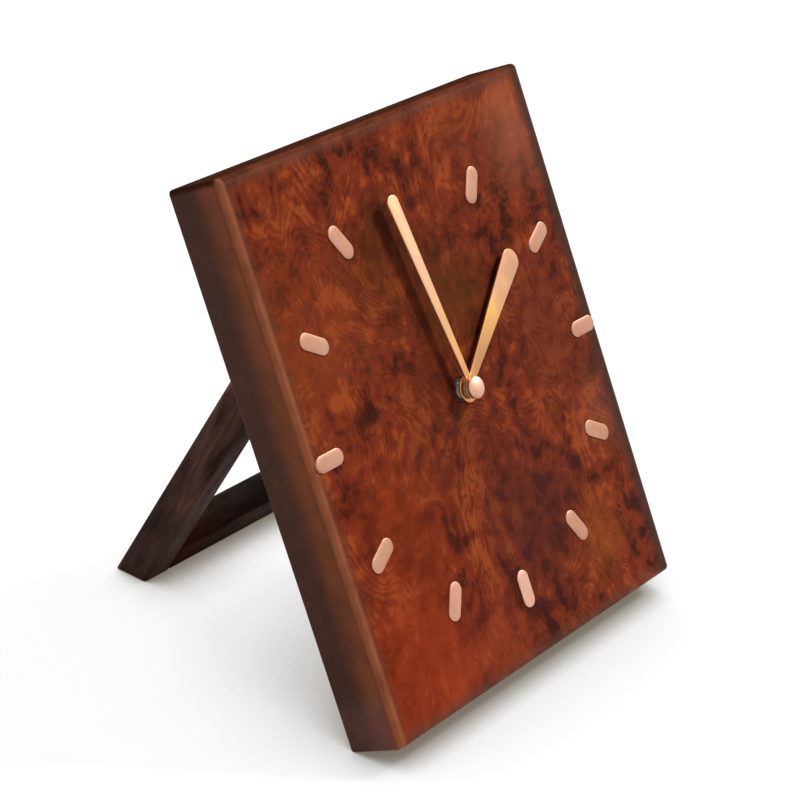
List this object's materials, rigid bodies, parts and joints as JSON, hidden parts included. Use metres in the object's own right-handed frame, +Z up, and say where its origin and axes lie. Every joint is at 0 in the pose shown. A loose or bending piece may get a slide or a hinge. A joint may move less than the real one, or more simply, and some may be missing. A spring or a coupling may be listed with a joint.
{
  "type": "desk clock",
  "caption": "Leaning wooden desk clock with inlaid hour bars, tapered hands, a battery movement let into its back and a hinged folding stand of square bars.",
  "frame": {"origin": "on the floor under the middle of the whole clock with its stand open", "axes": "+X is the viewer's right across the dial, the dial faces -Y and leans back, +Z is up"},
  "size_m": [0.128, 0.1202, 0.1412],
  "materials": {
    "board_wood": "satin oiled reddish-brown figured hardwood",
    "stand_wood": "satin dark-stained hardwood",
    "bar_inlay": "satin pink-gold metal",
    "hand_gilt": "satin gold",
    "case_plastic": "matte black",
    "gear_nylon": "matte off-white",
    "motor_steel": "brushed",
    "coil_copper": "enamelled copper wire",
    "circuit_resin": "green resin board",
    "cell_jacket": "satin jacket",
    "hinge_brass": "polished brass"
  },
  "bodies": {
    "clock_body": {"dial_board": "board_wood", "case_shell": "case_plastic", "case_cover": "case_plastic", "stator": "motor_steel", "coil_core": "motor_steel", "crystal_can": "motor_steel", "coil_bobbin": "gear_nylon", "coil_winding": "coil_copper", "circuit_board": "circuit_resin", "contact_negative": "hinge_brass", "contact_positive": "hinge_brass", "battery": "cell_jacket", "case_clip_left": "hinge_brass", "case_clip_right": "hinge_brass", "clip_screw_left": "hinge_brass", "clip_screw_right": "hinge_brass", "hour_bar_01": "bar_inlay", "hour_bar_02": "bar_inlay", "hour_bar_03": "bar_inlay", "hour_bar_04": "bar_inlay", "hour_bar_05": "bar_inlay", "hour_bar_06": "bar_inlay", "hour_bar_07": "bar_inlay", "hour_bar_08": "bar_inlay", "hour_bar_09": "bar_inlay", "hour_bar_10": "bar_inlay", "hour_bar_11": "bar_inlay", "hinge_left_pin": "hinge_brass", "hinge_left_board_leaf": "hinge_brass", "hinge_left_board_leaf_screw_1": "hinge_brass", "hinge_left_board_leaf_screw_2": "hinge_brass", "hinge_right_pin": "hinge_brass", "hinge_right_board_leaf": "hinge_brass", "hinge_right_board_leaf_screw_1": "hinge_brass", "hinge_right_board_leaf_screw_2": "hinge_brass"},
    "stand": {"stand_stile_left": "stand_wood", "stand_stile_right": "stand_wood", "stand_foot_rail": "stand_wood", "hinge_left_stand_leaf": "hinge_brass", "hinge_left_stand_leaf_screw_1": "hinge_brass", "hinge_left_stand_leaf_screw_2": "hinge_brass", "hinge_right_stand_leaf": "hinge_brass", "hinge_right_stand_leaf_screw_1": "hinge_brass", "hinge_right_stand_leaf_screw_2": "hinge_brass"},
    "minute": {"minute_hand": "hand_gilt", "minute_pipe": "gear_nylon", "hand_cap_nut": "hand_gilt"},
    "hour": {"hour_hand": "hand_gilt", "hour_wheel": "gear_nylon"},
    "motion_wheel": {"minute_wheel": "gear_nylon"},
    "setting": {"setting_knob": "case_plastic"},
    "rotor_body": {"rotor": "motor_steel"},
    "intermediate_body": {"intermediate_wheel": "gear_nylon"},
    "seconds_body": {"seconds_wheel": "gear_nylon"},
    "third_body": {"third_wheel": "gear_nylon"},
    "centre_body": {"centre_wheel": "gear_nylon"}
  },
  "joints": [
    {"name": "stand_fold", "type": "hinge", "parent": "clock_body", "child": "stand", "pos_m": [0, 0.00304, 0.08594], "axis": [-1, 0, 0], "range_deg": [0, 55]},
    {"name": "minute_turn", "type": "hinge", "parent": "clock_body", "child": "minute", "pos_m": [0, -0.02524, 0.07493], "axis": [0, 0.8829, -0.4695], "continuous": true},
    {"name": "hour_turn", "type": "hinge", "parent": "clock_body", "child": "hour", "pos_m": [0, -0.02524, 0.07493], "axis": [0, 0.8829, -0.4695], "continuous": true},
    {"name": "motion_wheel_turn", "type": "hinge", "parent": "clock_body", "child": "motion_wheel", "pos_m": [-0.00624, -0.02355, 0.07811], "axis": [0, 0.8829, -0.4695], "continuous": true},
    {"name": "setting_turn", "type": "hinge", "parent": "clock_body", "child": "setting", "pos_m": [-0.01029, -0.02026, 0.08431], "axis": [0, 0.8829, -0.4695], "continuous": true},
    {"name": "rotor_turn", "type": "hinge", "parent": "clock_body", "child": "rotor_body", "pos_m": [0.00201, -0.01837, 0.08786], "axis": [0, 0.8829, -0.4695], "continuous": true},
    {"name": "intermediate_turn", "type": "hinge", "parent": "clock_body", "child": "intermediate_body", "pos_m": [-0.00248, -0.02089, 0.08312], "axis": [0, 0.8829, -0.4695], "continuous": true},
    {"name": "seconds_turn", "type": "hinge", "parent": "clock_body", "child": "seconds_body", "pos_m": [0, -0.02524, 0.07493], "axis": [0, 0.8829, -0.4695], "continuous": true},
    {"name": "third_turn", "type": "hinge", "parent": "clock_body", "child": "third_body", "pos_m": [0.00842, -0.02296, 0.07922], "axis": [0, 0.8829, -0.4695], "continuous": true},
    {"name": "centre_turn", "type": "hinge", "parent": "clock_body", "child": "centre_body", "pos_m": [0, -0.02524, 0.07493], "axis": [0, 0.8829, -0.4695], "continuous": true}
  ],
  "couplings": [
    {"joint": "hour_turn", "follows": "minute_turn", "ratio": 0.083333},
    {"joint": "motion_wheel_turn", "follows": "minute_turn", "ratio": -0.33333},
    {"joint": "setting_turn", "follows": "minute_turn", "ratio": 0.66667},
    {"joint": "intermediate_turn", "follows": "rotor_turn", "ratio": -0.16667},
    {"joint": "seconds_turn", "follows": "rotor_turn", "ratio": 0.033333},
    {"joint": "third_turn", "follows": "rotor_turn", "ratio": -0.0041667},
    {"joint": "centre_turn", "follows": "rotor_turn", "ratio": 0.00055556}
  ]
}
